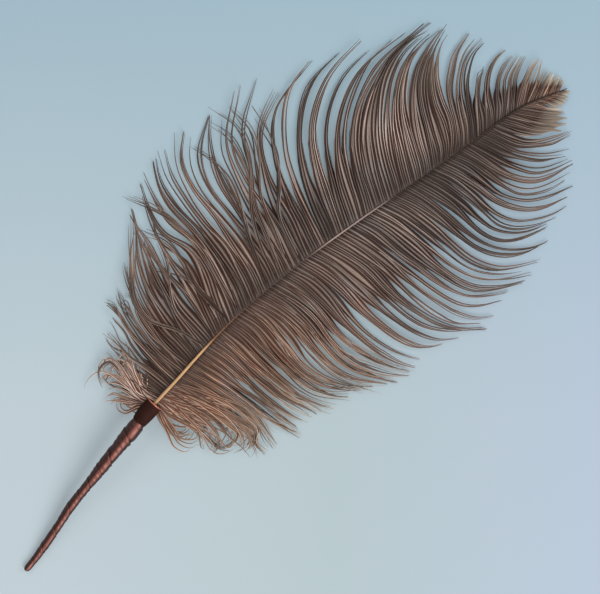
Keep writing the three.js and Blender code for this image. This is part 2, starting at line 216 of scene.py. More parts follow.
LEFT, RIGHT = 1, -1
TIP_HEIGHTS = (0.7, 2.6, 1.2, 3.8, 0.9, 2.0)  # of the barbs, lock after lock
DROOP = 0.65  # under 1, a barb falls more near the shaft than near its tip

# Barbs that lie across the left vane, and the loose curls that come out of the collar.
CROSSING = (
    (132.5, 270, 49, 276, 64, 287.5, 77.5, 301, 96.5, 310, 129),
    (124, 263.5, 54.5, 272.5, 77.5, 286, 96.5, 296.5, 116.5, 298.5, 139.5),
    (118, 258, 55.5, 267.5, 78, 282, 100, 291, 125, 287.5, 148),
    (113, 251.5, 52, 262, 73.5, 276.5, 96, 285.5, 122, 281.5, 141.5),
    (105.5, 243.5, 49, 250.5, 66.5, 259.5, 85, 266, 110, 261, 136.5),
    (80.5, 217, 54.5, 221.5, 77, 220, 99.5, 214, 123, 205.5, 141.5),
    (71.5, 202.5, 48.5, 202.5, 64.5, 206.5, 81.5, 206.5, 99.5, 200, 116.5),
    (64.5, 200, 49.5, 201.5, 67.5, 196.5, 78.5, 190.5, 87, 187, 95.5),
    (58, 192, 50.5, 193.5, 68.5, 193, 84.5, 193.5, 102, 195.5, 118),
    (48, 181, 46, 182.5, 62.5, 189.5, 76.5, 198.5, 88.5, 206.5, 106.5),
    (42.5, 176, 46.5, 180, 64.5, 185, 82, 190.5, 95.5, 199, 110),
    (20.5, 149.5, 45.5, 148.5, 64, 150, 79, 153, 91, 150, 96.5),
    (27, 155.5, 47.5, 155.5, 67, 158, 82, 158.5, 90.5, 163, 97.5),
    (14.5, 143, 43, 138.5, 58, 137.5, 69.5, 136.5, 77.5, 135.5, 82),
    (32.5, 161, 48.5, 163, 70.5, 168.5, 89, 173, 100, 177.5, 107.5),
    (49.5, 175, 49.5, 165.5, 68.5, 166.5, 83.5, 180, 102.5, 202.5, 126.5),
)
LEFT_CURLS = (
    (1, 127, 33, 127, 49, 128, 61, 125, 67.5, 119, 66.5, 114, 60.5, 114, 55),
    (1, 126.5, 34.5, 124, 47.5, 121, 56, 116.5, 60, 112.5, 57.5),
    (0.5, 123, 33, 117, 42, 112, 48, 107, 48),
    (0.5, 121, 30.5, 113, 33, 112, 37.5, 115, 40, 118, 39),
    (0.5, 131, 33, 140, 37.5, 148, 37.5, 152, 32, 150, 28.5),
    (0.5, 131, 33.5, 137.5, 38, 145, 38.5, 147.5, 32.5),
    (1, 127.5, 35.5, 128.5, 51, 129.5, 63.5, 129.5, 70.5),
    (3, 132, 34.5, 132, 50.5, 135.5, 62.5, 136, 73.5),
    (2, 129, 34.5, 128.5, 46.5, 129, 57, 126, 61.5, 120.5, 61.5),
    (0.5, 125.5, 32.5, 122, 41, 118, 49, 113.5, 52),
)
RIGHT_CURLS = (
    (1, 128, 16, 126.5, 7, 128, -3.5, 132.5, -8.5, 137, -7.5),
    (1, 133, 14, 137, 4.5, 142, -7.5, 145.5, -19.5, 140, -22),
    (6.5, 145.5, 11, 154.5, -1.5, 164, -22, 166.5, -34, 161.5, -37.5, 154.5, -33.5),
    (8, 144.5, 10, 148, -6, 148, -21, 147, -30, 151.5, -30, 153.5, -26),
    (12.5, 155, 7, 164, -13, 167.5, -30.5, 164, -37.5, 154, -39),
    (11, 151, 7.5, 157.5, -12.5, 161, -31, 162.5, -48),
    (17.5, 159.5, 7, 168, -13, 172.5, -28, 170, -50),
    (1, 130.5, 14, 129.5, 3, 129.5, -5.5, 135.5, -11, 139.5, -8.5),
    (4, 138, 10, 142, -4, 146, -15.5, 146, -25.5, 138.5, -25.5),
    (14.5, 153.5, 10.5, 160.5, -6.5, 165, -24.5, 162, -33, 153, -33.5),
)
# Stations where neighbouring barbs part, so that the table shows between them.
LEFT_PARTS = (106, 112, 118, 124, 130, 149, 154, 159.5, 165, 172, 195.5, 210.5, 215.5, 222, 233,
              246.5, 256.5, 278, 307, 317.8)
RIGHT_PARTS = (89, 129, 162, 182, 188.5, 207, 221, 236.5, 248.5, 257.5, 274, 288, 325)
# How tightly the barbs close up on the nearest guide, and on each other in strings, as
# (station, share).
LEFT_CLOSING = ((0, 0.3), (45, 0.4), (60, 0.55), (85, 0.6), (105, 0.6), (168, 0.6), (178, 0.3),
                (195, 0.3), (205, 0.5), (255, 0.55), (262, 0.4), (300, 0.4), (345, 0.1))
RIGHT_CLOSING = ((0, 0.2), (40, 0.3), (80, 0.4), (160, 0.5), (290, 0.55), (310, 0.3), (345, 0.1))
LEFT_STRINGS = ((0, 0.4), (95, 0.5), (130, 0.6), (168, 0.6), (178, 0.3), (205, 0.35), (215, 0.45),
                (250, 0.45), (262, 0.35), (290, 0.45), (345, 0.2))
RIGHT_STRINGS = ((0, 0.35), (60, 0.4), (200, 0.45), (290, 0.45), (345, 0.2))

# How close the barbs stand, as (station, share of the spacing).
LEFT_CROWD = ((0, 0.3), (25, 0.5), (60, 0.8), (100, 0.9), (110, 1), (188, 1), (196, 0.8),
              (252, 0.8), (262, 0.95), (290, 0.95), (320, 0.6), (345, 0.35))
RIGHT_CROWD = ((0, 0.25), (25, 0.45), (60, 0.95), (290, 0.95), (320, 0.6), (345, 0.35))
# How far along the barbs the webs fill the space up to their neighbours, as (station, share).
LEFT_FILL = ((0, 0.1), (24, 0.1), (34, 0.58), (60, 0.55), (90, 0.5), (105, 0.38), (190, 0.35),
             (197, 0.78), (252, 0.78), (260, 0.45), (312, 0.5), (324, 0.75), (345, 0.8))
RIGHT_FILL = ((0, 0.1), (24, 0.1), (40, 0.4), (60, 0.5), (282, 0.45), (294, 0.85), (345, 0.9))
FILL_LIMIT = 1.8  # half width of a web at most

# How far along the barbs the down under them reaches, as (station, share).
LEFT_UNDER = ((0, 0.4), (30, 0.5), (45, 0.52), (90, 0.48), (108, 0.4), (128, 0.36), (150, 0.36),
              (158, 0.6), (200, 0.5), (215, 0.42), (250, 0.4), (262, 0.35), (345, 0.3))
RIGHT_UNDER = ((0, 0.3), (60, 0.4), (140, 0.5), (250, 0.5), (345, 0.4))

# Shaft as (station, radius).
SHAFT_ROWS = (
    (-9, 1.1), (0, 1.1), (40, 0.85), (60, 0.65), (100, 0.55), (140, 0.6), (195, 0.55), (220, 0.45),
    (290, 0.5), (330, 0.5), (344, 0.3),
)
# Height of a barb's root over the shaft's middle: at the base the shaft stays bare.
ROOT_RISE = ((0, -0.5), (45, -0.4), (62, 0.45), (135, 0.5), (148, 0.1), (195, 0.1), (208, 0.5),
             (275, 0.3), (298, -0.4), (345, -0.4))
# Grip as (station, radius), from its rounded end up into the collar.
GRIP_ROWS = (
    (-142.9, 0.5), (-142.5, 1.3), (-141.7, 1.9), (-140, 2.3), (-125, 2.6), (-100, 2.9),
    (-80, 3.1), (-64, 3.5), (-52, 4.0), (-40, 4.55), (-26, 4.95), (-19, 4.85), (-16.5, 4.45),
    (-13, 4.3),
)
RIBBON_PITCH = 13.0  # one turn of ribbon along the grip
SHEEN_STRIPE_SIDE = 0.3  # painted highlight stripe along the ribbon: a share of a turn, from its left over the top
# Outline of the collar as (radius, station).
COLLAR_ROWS = (
    (1.5, -1.3), (3.4, -1.1), (4.7, -0.9), (5.2, -0.1), (5.5, 0.1), (5.72, -0.15), (5.74, -0.9),
    (5.65, -2.2), (5.7, -4.4), (5.75, -7), (5.6, -10), (5.25, -13), (4.95, -15.4), (4.8, -16),
    (4.65, -15.9), (4.55, -15), (4.5, -12),
)
COLLAR_BULGE = 0.5  # to the left, halfway down
COLLAR_DEPTH = 16
RIM_STATION, RIM_RADIUS = -0.2, 5.1  # the rim is what lies past both

# The view from above, in metres: it is turned, so that the feather leans in it.
CAMERA_ROLL = math.radians(-41.6)
VIEW_CENTRE = (0.2488, 0.0131)
VIEW_WIDTH = 0.396
VIEW_LEVEL = 0.005
VIEW_RIGHT = Vector((math.cos(CAMERA_ROLL), math.sin(CAMERA_ROLL), 0))
VIEW_TOP = Vector((-math.sin(CAMERA_ROLL), math.cos(CAMERA_ROLL), 0))
LENS, SENSOR = 85.0, 36.0

# Lights: name, place and aim as right, top and height in the view, size, power and colour.
LIGHTS = (
    ("key_light", (1.9, 0.3, 1.35), (0, 0, 0), (0.9,), 20, (1.0, 0.98, 0.96)),
    ("sheen_light", (0.62, -1.25, 1.25), (-0.14, -0.12, 0), (0.6, 1.3), 31, (1.0, 0.98, 0.96)),
    ("fill_light", (-0.6, 0.9, 1.3), (0, 0, 0), (1.2,), 6, (1, 1, 1)),
)


def linear(red, green, blue):
    """A screen colour in 0 to 255, as Blender's scene-linear values."""
    def one(value):
        value /= 255
        return value / 12.92 if value <= 0.04045 else ((value + 0.055) / 1.055) ** 2.4
    return tuple(round(one(v), 4) for v in (red, green, blue))


# ---- Lines ---------------------------------------------------------------------------------

PATH_POINTS = 49  # points along a barb
PATH_T = np.linspace(0, 1, PATH_POINTS)


def profile(rows, place):
    """Value at a place in a table of (place, value) rows."""
    return np.interp(place, *zip(*rows))


def rows_at(at, places, rows):
    """Rows of numbers, such as a path's points, at any place between the given ones."""
    return np.stack([np.interp(at, places, column) for column in rows.T], -1)


def unit_rows(vectors):
    """Vectors scaled to length 1."""
    return vectors / np.linalg.norm(vectors, axis=1)[:, None]


def distance_along(path):
    """Distance of each point of a path from its first one."""
    return np.concatenate([[0], np.cumsum(np.linalg.norm(np.diff(path, axis=0), axis=1))])


def smooth_line(points, steps=60):
    """Dense points of a centripetal Catmull-Rom line through the given points."""
    p = np.array(points, float)
    p = np.vstack([2 * p[0] - p[1], p, 2 * p[-1] - p[-2]])
    out = []
    for i in range(1, len(p) - 2):
        q = p[i - 1:i + 3]
        gaps = np.sqrt(np.linalg.norm(np.diff(q, axis=0), axis=1))
        knots = np.concatenate([[0], np.cumsum(gaps)])
        t = np.linspace(knots[1], knots[2], steps, endpoint=False)[:, None]
        a = [((knots[k + 1] - t) * q[k] + (t - knots[k]) * q[k + 1]) / (knots[k + 1] - knots[k])
             for k in range(3)]
        b = [((knots[k + 2] - t) * a[k] + (t - knots[k]) * a[k + 1]) / (knots[k + 2] - knots[k])
             for k in range(2)]
        out.append(((knots[2] - t) * b[0] + (t - knots[1]) * b[1]) / (knots[2] - knots[1]))
    return np.vstack(out + [p[-2][None]])


LINE_POINTS = smooth_line(LINE)
LINE_DISTANCE = distance_along(LINE_POINTS)
LINE_DISTANCE -= np.interp(COLLAR_X, LINE_POINTS[:, 0], LINE_DISTANCE)


def frames_of(path, roll=0.0):
    """Unit directions along, across to the left and up, at each point of a path."""
    along = unit_rows(np.gradient(path, axis=0))
    across = unit_rows(np.cross([0, 0, 1], along))
    up = np.cross(along, across)
    turn = np.broadcast_to(roll, len(path))[:, None]
    cos, sin = np.cos(turn), np.sin(turn)
    return along, cos * across + sin * up, cos * up - sin * across


def line_at(stations):
    """Points of the feather's line at the given stations."""
    return rows_at(stations, LINE_DISTANCE, LINE_POINTS)


def guide_line(row):
    """Plan of a guide at even steps, from its root on the shaft to its tip."""
    root = line_at([row[0]])[0, :2]
    dense = smooth_line(np.vstack([root, np.reshape(row[1:], (-1, 2))]), 12)
    distance = distance_along(dense)
    return rows_at(np.linspace(0, distance[-1], PATH_POINTS), distance, dense)


def raised(plan, station, tip_height):
    """A plan with its heights: from the shaft at the station, down or up to the tip's height."""
    root = line_at([station])[0, 2]
    fall = np.linspace(0, 1, len(plan)) ** DROOP
    return np.column_stack([plan, root + (tip_height - root) * fall])


def stray(plan, shift, wild):
    """A plan with small changes of its own: shorter, bent aside, and with a slow wave along it.

    The changes are set by the random numbers in shift and, all but the length, scaled by wild.
    """
    t = np.linspace(0, 1, len(plan))
    plan = rows_at(t * (1 - 0.045 * abs(shift[0])), t, plan)
    along = unit_rows(np.gradient(plan, axis=0))
    length = np.linalg.norm(np.diff(plan, axis=0), axis=1).sum()
    start = 3 * shift[4]
    wave = np.sin(start + (1.1 + 0.6 * abs(shift[5])) * 2 * math.pi * t) - math.sin(start)
    aside = 0.008 * shift[1] * t + 0.01 * shift[3] * t * t + 0.009 * np.sqrt(t) * wave
    return plan + (wild * length * aside)[:, None] * np.column_stack([-along[:, 1], along[:, 0]])


def bent(plan, aside, turn, reach):
    """A plan that starts off aside by an angle, with its turning and its length scaled."""
    steps = np.diff(plan, axis=0)
    lengths = np.linalg.norm(steps, axis=1)[:, None]
    heading = np.unwrap(np.arctan2(steps[:, 1], steps[:, 0]))
    heading = heading[0] + aside + (heading - heading[0]) * turn
    steps = np.column_stack([np.cos(heading), np.sin(heading)]) * lengths
    return np.vstack([plan[:1], plan[0] + reach * np.cumsum(steps, axis=0)])


# ---- Meshes --------------------------------------------------------------------------------


def arrays_of(bm):
    """Vertices and triangles of a closed bmesh, with its faces turned outwards. Frees it."""
    bmesh.ops.recalc_face_normals(bm, faces=list(bm.faces))
    bmesh.ops.triangulate(bm, faces=list(bm.faces))
    bm.verts.ensure_lookup_table()
    verts = np.array([v.co[:] for v in bm.verts])
    faces = np.array([[v.index for v in f.verts] for f in bm.faces])
    bm.free()
    return verts, faces


def tube_template(sides, rings):
    """A unit tube along +Z with closed ends, as vertices and triangles."""
    bm = bmesh.new()
    bmesh.ops.create_circle(bm, segments=sides, radius=1, cap_ends=False)
    edges = list(bm.edges)
    for _ in range(rings - 1):
        new = bmesh.ops.extrude_edge_only(bm, edges=edges)["geom"]
        edges = [e for e in new if isinstance(e, bmesh.types.BMEdge)]
        moved = [v for v in new if isinstance(v, bmesh.types.BMVert)]
        bmesh.ops.translate(bm, verts=moved, vec=(0, 0, 1 / (rings - 1)))
        edges = [e for e in edges if all(v in moved for v in e.verts)]
    bmesh.ops.holes_fill(bm, edges=list(bm.edges), sides=sides)
    return arrays_of(bm)


def spike_template():
    """A unit three-sided spike along +Z, as vertices and triangles."""
    bm = bmesh.new()
    bmesh.ops.create_cone(bm, cap_ends=True, segments=3, radius1=0.5, radius2=0, depth=1)
    bmesh.ops.translate(bm, verts=list(bm.verts), vec=(0, 0, 0.5))
    bmesh.ops.remove_doubles(bm, verts=list(bm.verts), dist=1e-5)
    return arrays_of(bm)


class Bundle:
    """Many small closed shapes, gathered as arrays and joined as one mesh."""

    def __init__(self):
        self.verts, self.faces, self.values, self.count = [], [], {}, 0

    def add(self, verts, faces, **values):
        """Adds one shape, or copies as (copies, points, 3), with the template's faces."""
        verts = verts.reshape(-1, *verts.shape[-2:])
        copies, points = verts.shape[:2]
        offset = self.count + points * np.arange(copies)
        self.faces.append((faces[None] + offset[:, None, None]).reshape(-1, 3))
        self.verts.append(verts.reshape(-1, 3))
        for name, value in values.items():
            value = np.broadcast_to(value, (copies, points)).ravel()
            self.values.setdefault(name, []).append(value)
        self.count += copies * points

    def make(self, name):
        """Makes the joined mesh as an object in metres."""
        verts = np.vstack(self.verts) * MM
        faces = np.vstack(self.faces).astype(np.int32)
        mesh = bpy.data.meshes.new(name)
        mesh.vertices.add(len(verts))
        mesh.vertices.foreach_set("co", verts.ravel().astype(np.float32))
        mesh.loops.add(faces.size)
        mesh.loops.foreach_set("vertex_index", faces.ravel())
        mesh.polygons.add(len(faces))
        mesh.polygons.foreach_set("loop_start", np.arange(0, faces.size, 3, dtype=np.int32))
        mesh.update(calc_edges=True)
        mesh.polygons.foreach_set("use_smooth", np.ones(len(faces), bool))
        for key, parts in self.values.items():
            layer = mesh.attributes.new(key, "FLOAT", "POINT")
            layer.data.foreach_set("value", np.concatenate(parts).astype(np.float32))
        obj = bpy.data.objects.new(name, mesh)
        bpy.context.scene.collection.objects.link(obj)
        return obj


def bent_tube(verts, path, radii):
    """Vertices of a tube template laid along a path, with a radius at each of its points."""
    t = np.linspace(0, 1, len(path))
    at = verts[:, 2]
    _, across, up = (rows_at(at, t, rows) for rows in frames_of(path))
    radius = np.interp(at, t, radii)[:, None]
    return rows_at(at, t, path) + radius * (verts[:, :1] * across + verts[:, 1:2] * up)


def finish_piece(obj, material, slot, *nodes):
    """Gives a piece its material, hangs it on the root body and hides the CAD nodes that it replaces.
    """
    obj.data.materials.clear()
    obj.data.materials.append(material)
    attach(obj, "root")
    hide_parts(*nodes)


# ---- Materials -----------------------------------------------------------------------------

BUMP_DISTANCE = 0.0002  # metres
BARB_SHADOW = linear(40, 27, 21)  # barbs deep down beside the shaft
SHAFT_FURTHER_OUT = (
    (0.28, linear(64, 44, 36)), (0.42, linear(84, 66, 58)), (0.47, linear(150, 130, 124)),
    (0.56, linear(140, 120, 114)), (0.63, linear(54, 40, 34)), (1.0, linear(42, 31, 26)),
)


class Nodes:
    """Short calls to add and join shader nodes."""

    def __init__(self, tree):
        self.tree = tree

    def feed(self, socket, value):
        """Joins a socket to another one or sets its value, where a colour is three numbers."""
        if isinstance(value, bpy.types.NodeSocket):
            self.tree.links.new(value, socket)
        elif socket.type == "RGBA":
            socket.default_value = (*value, 1)
        else:
            socket.default_value = value

    def connect(self, node, **inputs):
        """Feeds a node's inputs by name, with _ for each space."""
        for name, value in inputs.items():
            self.feed(node.inputs[name.replace("_", " ")], value)

    def add(self, kind, inputs=None, **settings):
        node = self.tree.nodes.new(kind)
        for key, value in settings.items():
            setattr(node, key, value)
        for key, value in (inputs or {}).items():
            self.feed(node.inputs[key], value)
        return node

    def value(self, name):
        """One of the piece's own values, such as the place along a barb."""
        return self.add("ShaderNodeAttribute", attribute_name=name).outputs["Fac"]

    def ramp(self, factor, stops):
        node = self.add("ShaderNodeValToRGB", {"Fac": factor})
        elements = node.color_ramp.elements
        while len(elements) < len(stops):
            elements.new(0.5)
        for element, (position, colour) in zip(elements, stops):
            element.position = position
            element.color = (*colour, 1)
        return node.outputs["Color"]

    def span(self, factor, low, high, to_low=0.0, to_high=1.0):
        """A value moved from one range to another, and held at the ends of it."""
        return self.add("ShaderNodeMapRange", {
            "Value": factor, "From Min": low, "From Max": high, "To Min": to_low,
            "To Max": to_high}).outputs["Result"]

    def mix(self, factor, first, second, blend="MIX"):
        """Two colours mixed; the node's inputs 6 and 7 are its colours."""
        node = self.add("ShaderNodeMix", {0: factor, 6: first, 7: second}, data_type="RGBA",
                        blend_type=blend)
        return node.outputs[2]

    def maths(self, operation, first, second=0.0):
        return self.add("ShaderNodeMath", {0: first, 1: second}, operation=operation).outputs[0]

    def times(self, first, second):
        return self.maths("MULTIPLY", first, second)

    def noise(self, place, scale, detail):
        node = self.add("ShaderNodeTexNoise", {"Vector": place, "Scale": scale, "Detail": detail})
        return node.outputs["Fac"]

    def bump(self, height, strength):
        node = self.add("ShaderNodeBump", {
            "Height": height, "Strength": strength, "Distance": BUMP_DISTANCE})
        return node.outputs[0]


def new_material(name, **constants):
    """A material with one Principled shader, and the constants set on its own sockets."""
    material = bpy.data.materials.new(name)
    material.use_nodes = True
    material.node_tree.nodes.clear()
    nodes = Nodes(material.node_tree)
    shader = nodes.add("ShaderNodeBsdfPrincipled")
    nodes.connect(shader, **constants)
    nodes.add("ShaderNodeOutputMaterial", {"Surface": shader.outputs[0]})
    return material, nodes, shader


def mottle_group():
    """Node group: soft cloudy mottling and fine grain, as masks from 0 to 1."""
    name = "Mottle"
    if name in bpy.data.node_groups:
        return bpy.data.node_groups[name]
    group = bpy.data.node_groups.new(name, "ShaderNodeTree")
    for label, default in (("Cloud Size", 40.0), ("Grain Size", 900.0)):
        socket = group.interface.new_socket(label, in_out="INPUT", socket_type="NodeSocketFloat")
        socket.default_value = default
    for label in ("Cloud", "Grain"):
        group.interface.new_socket(label, in_out="OUTPUT", socket_type="NodeSocketFloat")
    nodes = Nodes(group)
    cloud_size, grain_size = nodes.add("NodeGroupInput").outputs[:2]
    place = nodes.add("ShaderNodeTexCoord").outputs["Object"]
    nodes.add("NodeGroupOutput", {
        "Cloud": nodes.span(nodes.noise(place, cloud_size, 3.0), 0.3, 0.7),
        "Grain": nodes.span(nodes.noise(place, grain_size, 2.0), 0.25, 0.75)})
    return group


def mottle(nodes, cloud_size, grain_size):
    node = nodes.add("ShaderNodeGroup", {"Cloud Size": cloud_size, "Grain Size": grain_size},
                     node_tree=mottle_group())
    return node.outputs["Cloud"], node.outputs["Grain"]


def barb_material(colours):
    """Grey-brown barbs: dark along the middle, paler in the fringe and toward the tips."""
    material, nodes, shader = new_material("barb_horn", Specular_IOR_Level=0.2)
    cloud, grain = mottle(nodes, 26.0, 1400.0)
    sheen_veil, _ = mottle(nodes, 48.0, 900.0)
    fringe, along, warmth = (nodes.value(name) for name in ("fringe", "along", "warmth"))
    pale = nodes.mix(warmth, colours.fringe, colours.warm_fringe)
    # Pale grey patches by a cloudy mask: painted highlight where the fringe would catch the light.
    pale = nodes.mix(nodes.span(sheen_veil, 0.5, 1.0, 0.0, 0.6), pale, colours.sheen_veil)
    dark = nodes.mix(warmth, colours.core, colours.warm_core)
    colour = nodes.mix(nodes.span(fringe, 0.36, 0.9), dark, pale)
    frost = nodes.times(nodes.value("frost"), nodes.span(along, 0.45, 1.0))
    colour = nodes.mix(frost, colour, colours.tip)

    # Each barb has its own shade, and gets a little darker and redder toward its end.
    shade = nodes.times(nodes.span(nodes.value("tone"), 0, 2, 0.42, 2.3),
                        nodes.span(cloud, 0, 1, 0.68, 1.3))
    shade = nodes.times(shade, nodes.span(along, 0.4, 0.85, 1.0, 0.81))
    rust = nodes.times(nodes.span(along, 0.3, 0.8, 0.0, 0.1),
                       nodes.span(warmth, 0.5, 1.0, 1.0, 0.25))
    rusty = nodes.times(shade, nodes.maths("SUBTRACT", 1.0, rust))
    tint = nodes.add("ShaderNodeCombineColor", {"Red": shade, "Green": rusty, "Blue": rusty})
    colour = nodes.mix(1.0, colour, tint.outputs[0], "MULTIPLY")

    # Beside the shaft the barbs lie in each other's shadow.
    colour = nodes.mix(nodes.span(nodes.value("depth"), 0, 1, 0.0, 0.82), colour, BARB_SHADOW)
    nodes.connect(shader, Base_Color=colour, Roughness=nodes.span(grain, 0, 1, 0.42, 0.6))
    return material


def shaft_material(colours):
    """Horn shaft: golden at the base, brown further out, with streaks along it."""
    material, nodes, shader = new_material("shaft_horn", Specular_IOR_Level=0.25)
    cloud, grain = mottle(nodes, 60.0, 700.0)
    colour = nodes.ramp(nodes.value("along"), (
        (0.0, colours.shaft), (0.15, colours.shaft), (0.19, colours.shaft_brown),
        *SHAFT_FURTHER_OUT))
    colour = nodes.mix(nodes.span(cloud, 0, 1, 0.0, 0.35), colour, linear(96, 66, 44), "MULTIPLY")
    nodes.connect(shader, Base_Color=colour, Roughness=nodes.span(grain, 0, 1, 0.3, 0.45),
                  Normal=nodes.bump(grain, 0.15))
    return material


def ribbon_material(colours):
    """Brown satin: threads along the winding, with painted shade in the laps and a painted highlight
    stripe along its top right, besides its reddish sheen.
    """
    material, nodes, shader = new_material("ribbon_satin", Specular_Tint=(1.0, 0.5, 0.44))
    cloud, _ = mottle(nodes, 130.0, 1600.0)
    lap, turn = nodes.value("lap"), nodes.value("turn")
    along_threads = nodes.add("ShaderNodeCombineXYZ", {
        "X": nodes.times(lap, 34.0), "Y": nodes.times(turn, 1.5),
        "Z": nodes.times(nodes.value("along"), 30.0)}).outputs[0]
    streak = nodes.span(nodes.noise(along_threads, 1.0, 2.0), 0.35, 0.65)
    colour = nodes.mix(streak, colours.ribbon, colours.ribbon_light)
    colour = nodes.mix(nodes.span(cloud, 0, 1, 0.0, 0.5), colour, linear(16, 8, 7))
    # Painted highlight: a pale reddish stripe along the top right of the grip, where the satin would
    # catch the light, broken up by the cloud.
    aside = nodes.maths("ABSOLUTE", nodes.maths("SUBTRACT", turn, SHEEN_STRIPE_SIDE))
    rubbed = nodes.times(nodes.span(aside, 0.02, 0.08, 1.0, 0.0), nodes.span(cloud, 0, 1, 1.0, 0.7))
    colour = nodes.mix(rubbed, colour, colours.ribbon_sheen_stripe)
    # Painted shade in the groove where each turn of ribbon laps over the one before.
    colour = nodes.mix(nodes.span(lap, 0.0, 0.07, 0.6, 0.0), colour, linear(14, 7, 6))
    gloss = nodes.times(nodes.span(lap, 0.0, 0.15, 0.2, 0.8), nodes.span(streak, 0, 1, 0.85, 1.0))
    nodes.connect(shader, Base_Color=colour, Roughness=nodes.span(streak, 0, 1, 0.44, 0.4),
                  Normal=nodes.bump(streak, 0.1), Specular_IOR_Level=gloss)
    return material


def collar_material(colours):
    """Near-black band whose upper rim is a thin coppery line."""
    material, nodes, shader = new_material("collar_band", Specular_IOR_Level=0.08)
    cloud, grain = mottle(nodes, 120.0, 1500.0)
    rim = nodes.value("rim")
    colour = nodes.mix(rim, nodes.mix(cloud, colours.collar, linear(46, 21, 14)), colours.rim)
    rough = nodes.span(rim, 0, 1, nodes.span(grain, 0, 1, 0.55, 0.75), 0.3)
    nodes.connect(shader, Base_Color=colour, Roughness=rough, Metallic=nodes.times(rim, 0.7),
                  Normal=nodes.bump(grain, 0.3))
    return material


def floor_material(colours):
    """Plain pale matt floor that also glows a little, so that shadows on it stay soft."""
    material, nodes, shader = new_material(
        "pale_floor", Specular_IOR_Level=0.1, Emission_Strength=0.45, Roughness=0.9)
    place = nodes.add("ShaderNodeTexCoord").outputs["Object"]
    top, right = (nodes.add("ShaderNodeVectorMath", {0: place, 1: way}, operation="DOT_PRODUCT")
                  for way in (VIEW_TOP, VIEW_RIGHT))
    # Darker toward the top of the view, and a little darker toward its right.
    across = nodes.ramp(nodes.span(right.outputs["Value"], 0.0, 0.4), (
        (0.0, colours.floor), (0.5, linear(156, 170, 174)), (1.0, linear(156, 168, 184))))
    toward_top = nodes.span(top.outputs["Value"], 0.1, 0.37, 0.0, 0.9)
    colour = nodes.mix(toward_top, across, linear(139, 162, 174))
    matt = nodes.mix(1.0, colour, (0.66, 0.66, 0.66), "MULTIPLY")
    nodes.connect(shader, Base_Color=matt, Emission_Color=colour)
    return material


# ---- Settings ------------------------------------------------------------------------------


class FeatherShape(bpy.types.PropertyGroup):
    """Sizes of the barbs and of their fringe"""

    barb_spacing: FloatProperty(
        name="Barb spacing", description="Distance between barbs along the shaft, in millimetres",
        default=1.8, min=1.0, max=8.0)
    barbule_spacing: FloatProperty(
        name="Barbule spacing",
        description="Distance between barbules along a barb, in millimetres",
        default=2.6, min=0.2, max=4.0)
    barbule_length: FloatProperty(
        name="Barbule length", description="Length of a barbule along its barb, in millimetres",
        default=4.5, min=0.2, max=12.0)
    barbule_thickness: FloatProperty(
        name="Barbule thickness", description="Thickness of a barbule at its root, in millimetres",
        default=0.16, min=0.05, max=1.0)
    barb_radius: FloatProperty(
        name="Barb thickness", description="Half thickness of a barb at its root, in millimetres",
        default=0.22, min=0.05, max=1.0)
    web_width: FloatProperty(
        name="Web width", description="Half width of a barb's matted web, in millimetres",
        default=1.02, min=0.1, max=4.0)
    seed: IntProperty(name="Seed", description="Start of the random variation", default=7)


class FeatherColours(bpy.types.PropertyGroup):
    """Colours of the feather, the grip, the collar and the floor"""

    core: FloatVectorProperty(
        name="Barb core", description="Colour of a barb's core", subtype="COLOR",
        default=linear(31, 14, 7))
    fringe: FloatVectorProperty(
        name="Fringe", description="Colour of the barbules", subtype="COLOR",
        default=linear(165, 150, 142))
    sheen_veil: FloatVectorProperty(
        name="Veil", description="Colour of the fringe where it catches the light", subtype="COLOR",
        default=linear(184, 179, 176))
    warm_core: FloatVectorProperty(
        name="Warm core", description="Core colour of the lowest barbs", subtype="COLOR",
        default=linear(72, 36, 19))
    warm_fringe: FloatVectorProperty(
        name="Warm fringe", description="Barbule colour of the lowest barbs", subtype="COLOR",
        default=linear(176, 149, 128))
    tip: FloatVectorProperty(
        name="Tips", description="Colour that barbs fade to at their tips", subtype="COLOR",
        default=linear(186, 177, 158))
    shaft: FloatVectorProperty(
        name="Shaft", description="Colour of the bare shaft", subtype="COLOR",
        default=linear(190, 150, 108))
    shaft_brown: FloatVectorProperty(
        name="Shaft further out", description="Colour of the shaft among the barbs",
        subtype="COLOR", default=linear(120, 78, 50))
    ribbon: FloatVectorProperty(
        name="Ribbon", description="Colour of the wound ribbon", subtype="COLOR",
        default=linear(14, 7, 6))
    ribbon_light: FloatVectorProperty(
        name="Ribbon, worn", description="Colour of the ribbon where it is rubbed",
        subtype="COLOR", default=linear(25, 12, 10))
    # Colour of the painted highlight stripe along the top right of the grip.
    ribbon_sheen_stripe: FloatVectorProperty(
        name="Ribbon, painted highlight", description="Colour of the ribbon along its painted highlight stripe",
        subtype="COLOR", default=linear(112, 66, 58))
    collar: FloatVectorProperty(
        name="Collar", description="Colour of the band", subtype="COLOR",
        default=linear(36, 14, 8))
    rim: FloatVectorProperty(
        name="Collar rim", description="Colour of the band's upper rim", subtype="COLOR",
        default=linear(200, 128, 108))
    floor: FloatVectorProperty(
        name="Floor", description="Colour of the floor", subtype="COLOR",
        default=linear(166, 178, 184))


# ---- Barbs ---------------------------------------------------------------------------------

WEB = tube_template(8, 25)
WEB_AT = (0, 0.03, 0.35, 0.6, 0.85, 1)  # along a barb
WEB_WIDTH = (0.6, 1.0, 0.95, 0.68, 0.38, 0.08)  # half width of the web
WEB_SLOPE = 0.3  # fall of the web from its ridge to its edges
UNDER = tube_template(4, 9)
UNDER_AT, UNDER_WIDTH = (0, 0.7, 1), (1.0, 1.5, 0.2)
UNDER_DROP = 0.9  # how far the down under a barb lies below it
